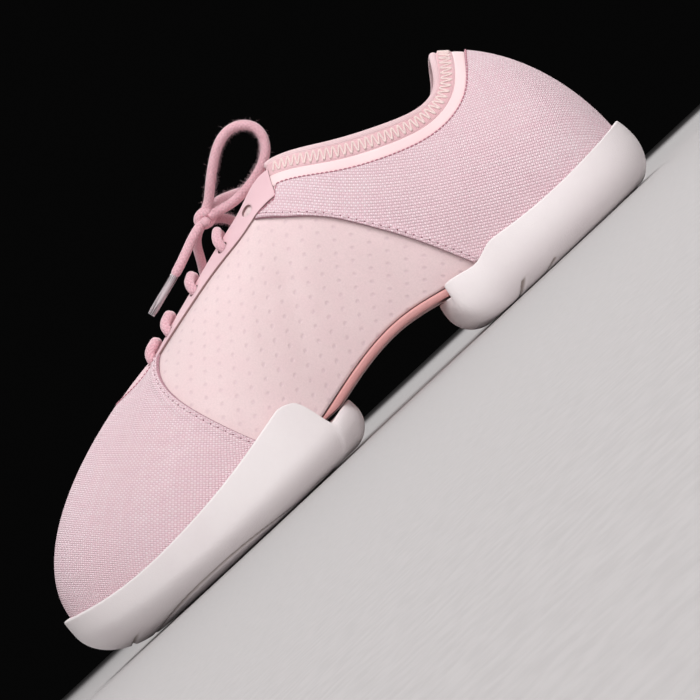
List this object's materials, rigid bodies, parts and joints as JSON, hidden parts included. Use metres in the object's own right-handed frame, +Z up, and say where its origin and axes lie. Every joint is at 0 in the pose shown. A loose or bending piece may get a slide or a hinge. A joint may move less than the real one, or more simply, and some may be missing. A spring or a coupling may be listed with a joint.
{
  "type": "dance sneaker",
  "caption": "Low split-sole dance sneaker with a soft laced upper, a bare arch plate, rubber forefoot and heel units with turning discs, and a bow tied over the throat.",
  "frame": {"origin": "centre of the shoe's plan box, on the floor that its two sole units stand on", "axes": "-Y to the toe, +Y to the heel, +X to the outer side of the left foot, +Z up"},
  "size_m": [0.093, 0.2612, 0.1132],
  "materials": {
    "blush_microfibre": "matt microfibre with rows of shallow dimples",
    "pink_canvas": "plain woven canvas",
    "smooth_trim": "smooth coated cloth with a fine dark edge line",
    "collar_knit": "soft rolled binding",
    "lining_cloth": "fine woven lining",
    "cream_rubber": "satin cream rubber with moulded tread grooves",
    "rose_rubber": "satin rose rubber",
    "dusty_plate": "smooth dusty rose plate",
    "lace_cotton": "round fuzzy cotton lace",
    "clear_tip": "clear shrunk plastic tip"
  },
  "bodies": {
    "root": {"upper": "blush_microfibre", "toe_vamp": "pink_canvas", "heel_quarter": "pink_canvas", "eyestay": "smooth_trim", "collar_rim": "collar_knit", "tongue": "lining_cloth", "insole": "lining_cloth", "forefoot_sole": "cream_rubber", "heel_sole": "cream_rubber", "forefoot_pivot_disc": "rose_rubber", "heel_pivot_disc": "rose_rubber", "arch_plate": "dusty_plate", "lace_bar_1": "lace_cotton", "lace_bar_2": "lace_cotton", "lace_bar_3": "lace_cotton", "lace_bar_4": "lace_cotton", "lace_knot": "lace_cotton", "lace_loop_outer": "lace_cotton", "lace_loop_inner": "lace_cotton", "lace_end_outer": "lace_cotton", "lace_end_inner": "lace_cotton", "aglet_outer": "clear_tip", "aglet_inner": "clear_tip"}
  },
  "joints": []
}
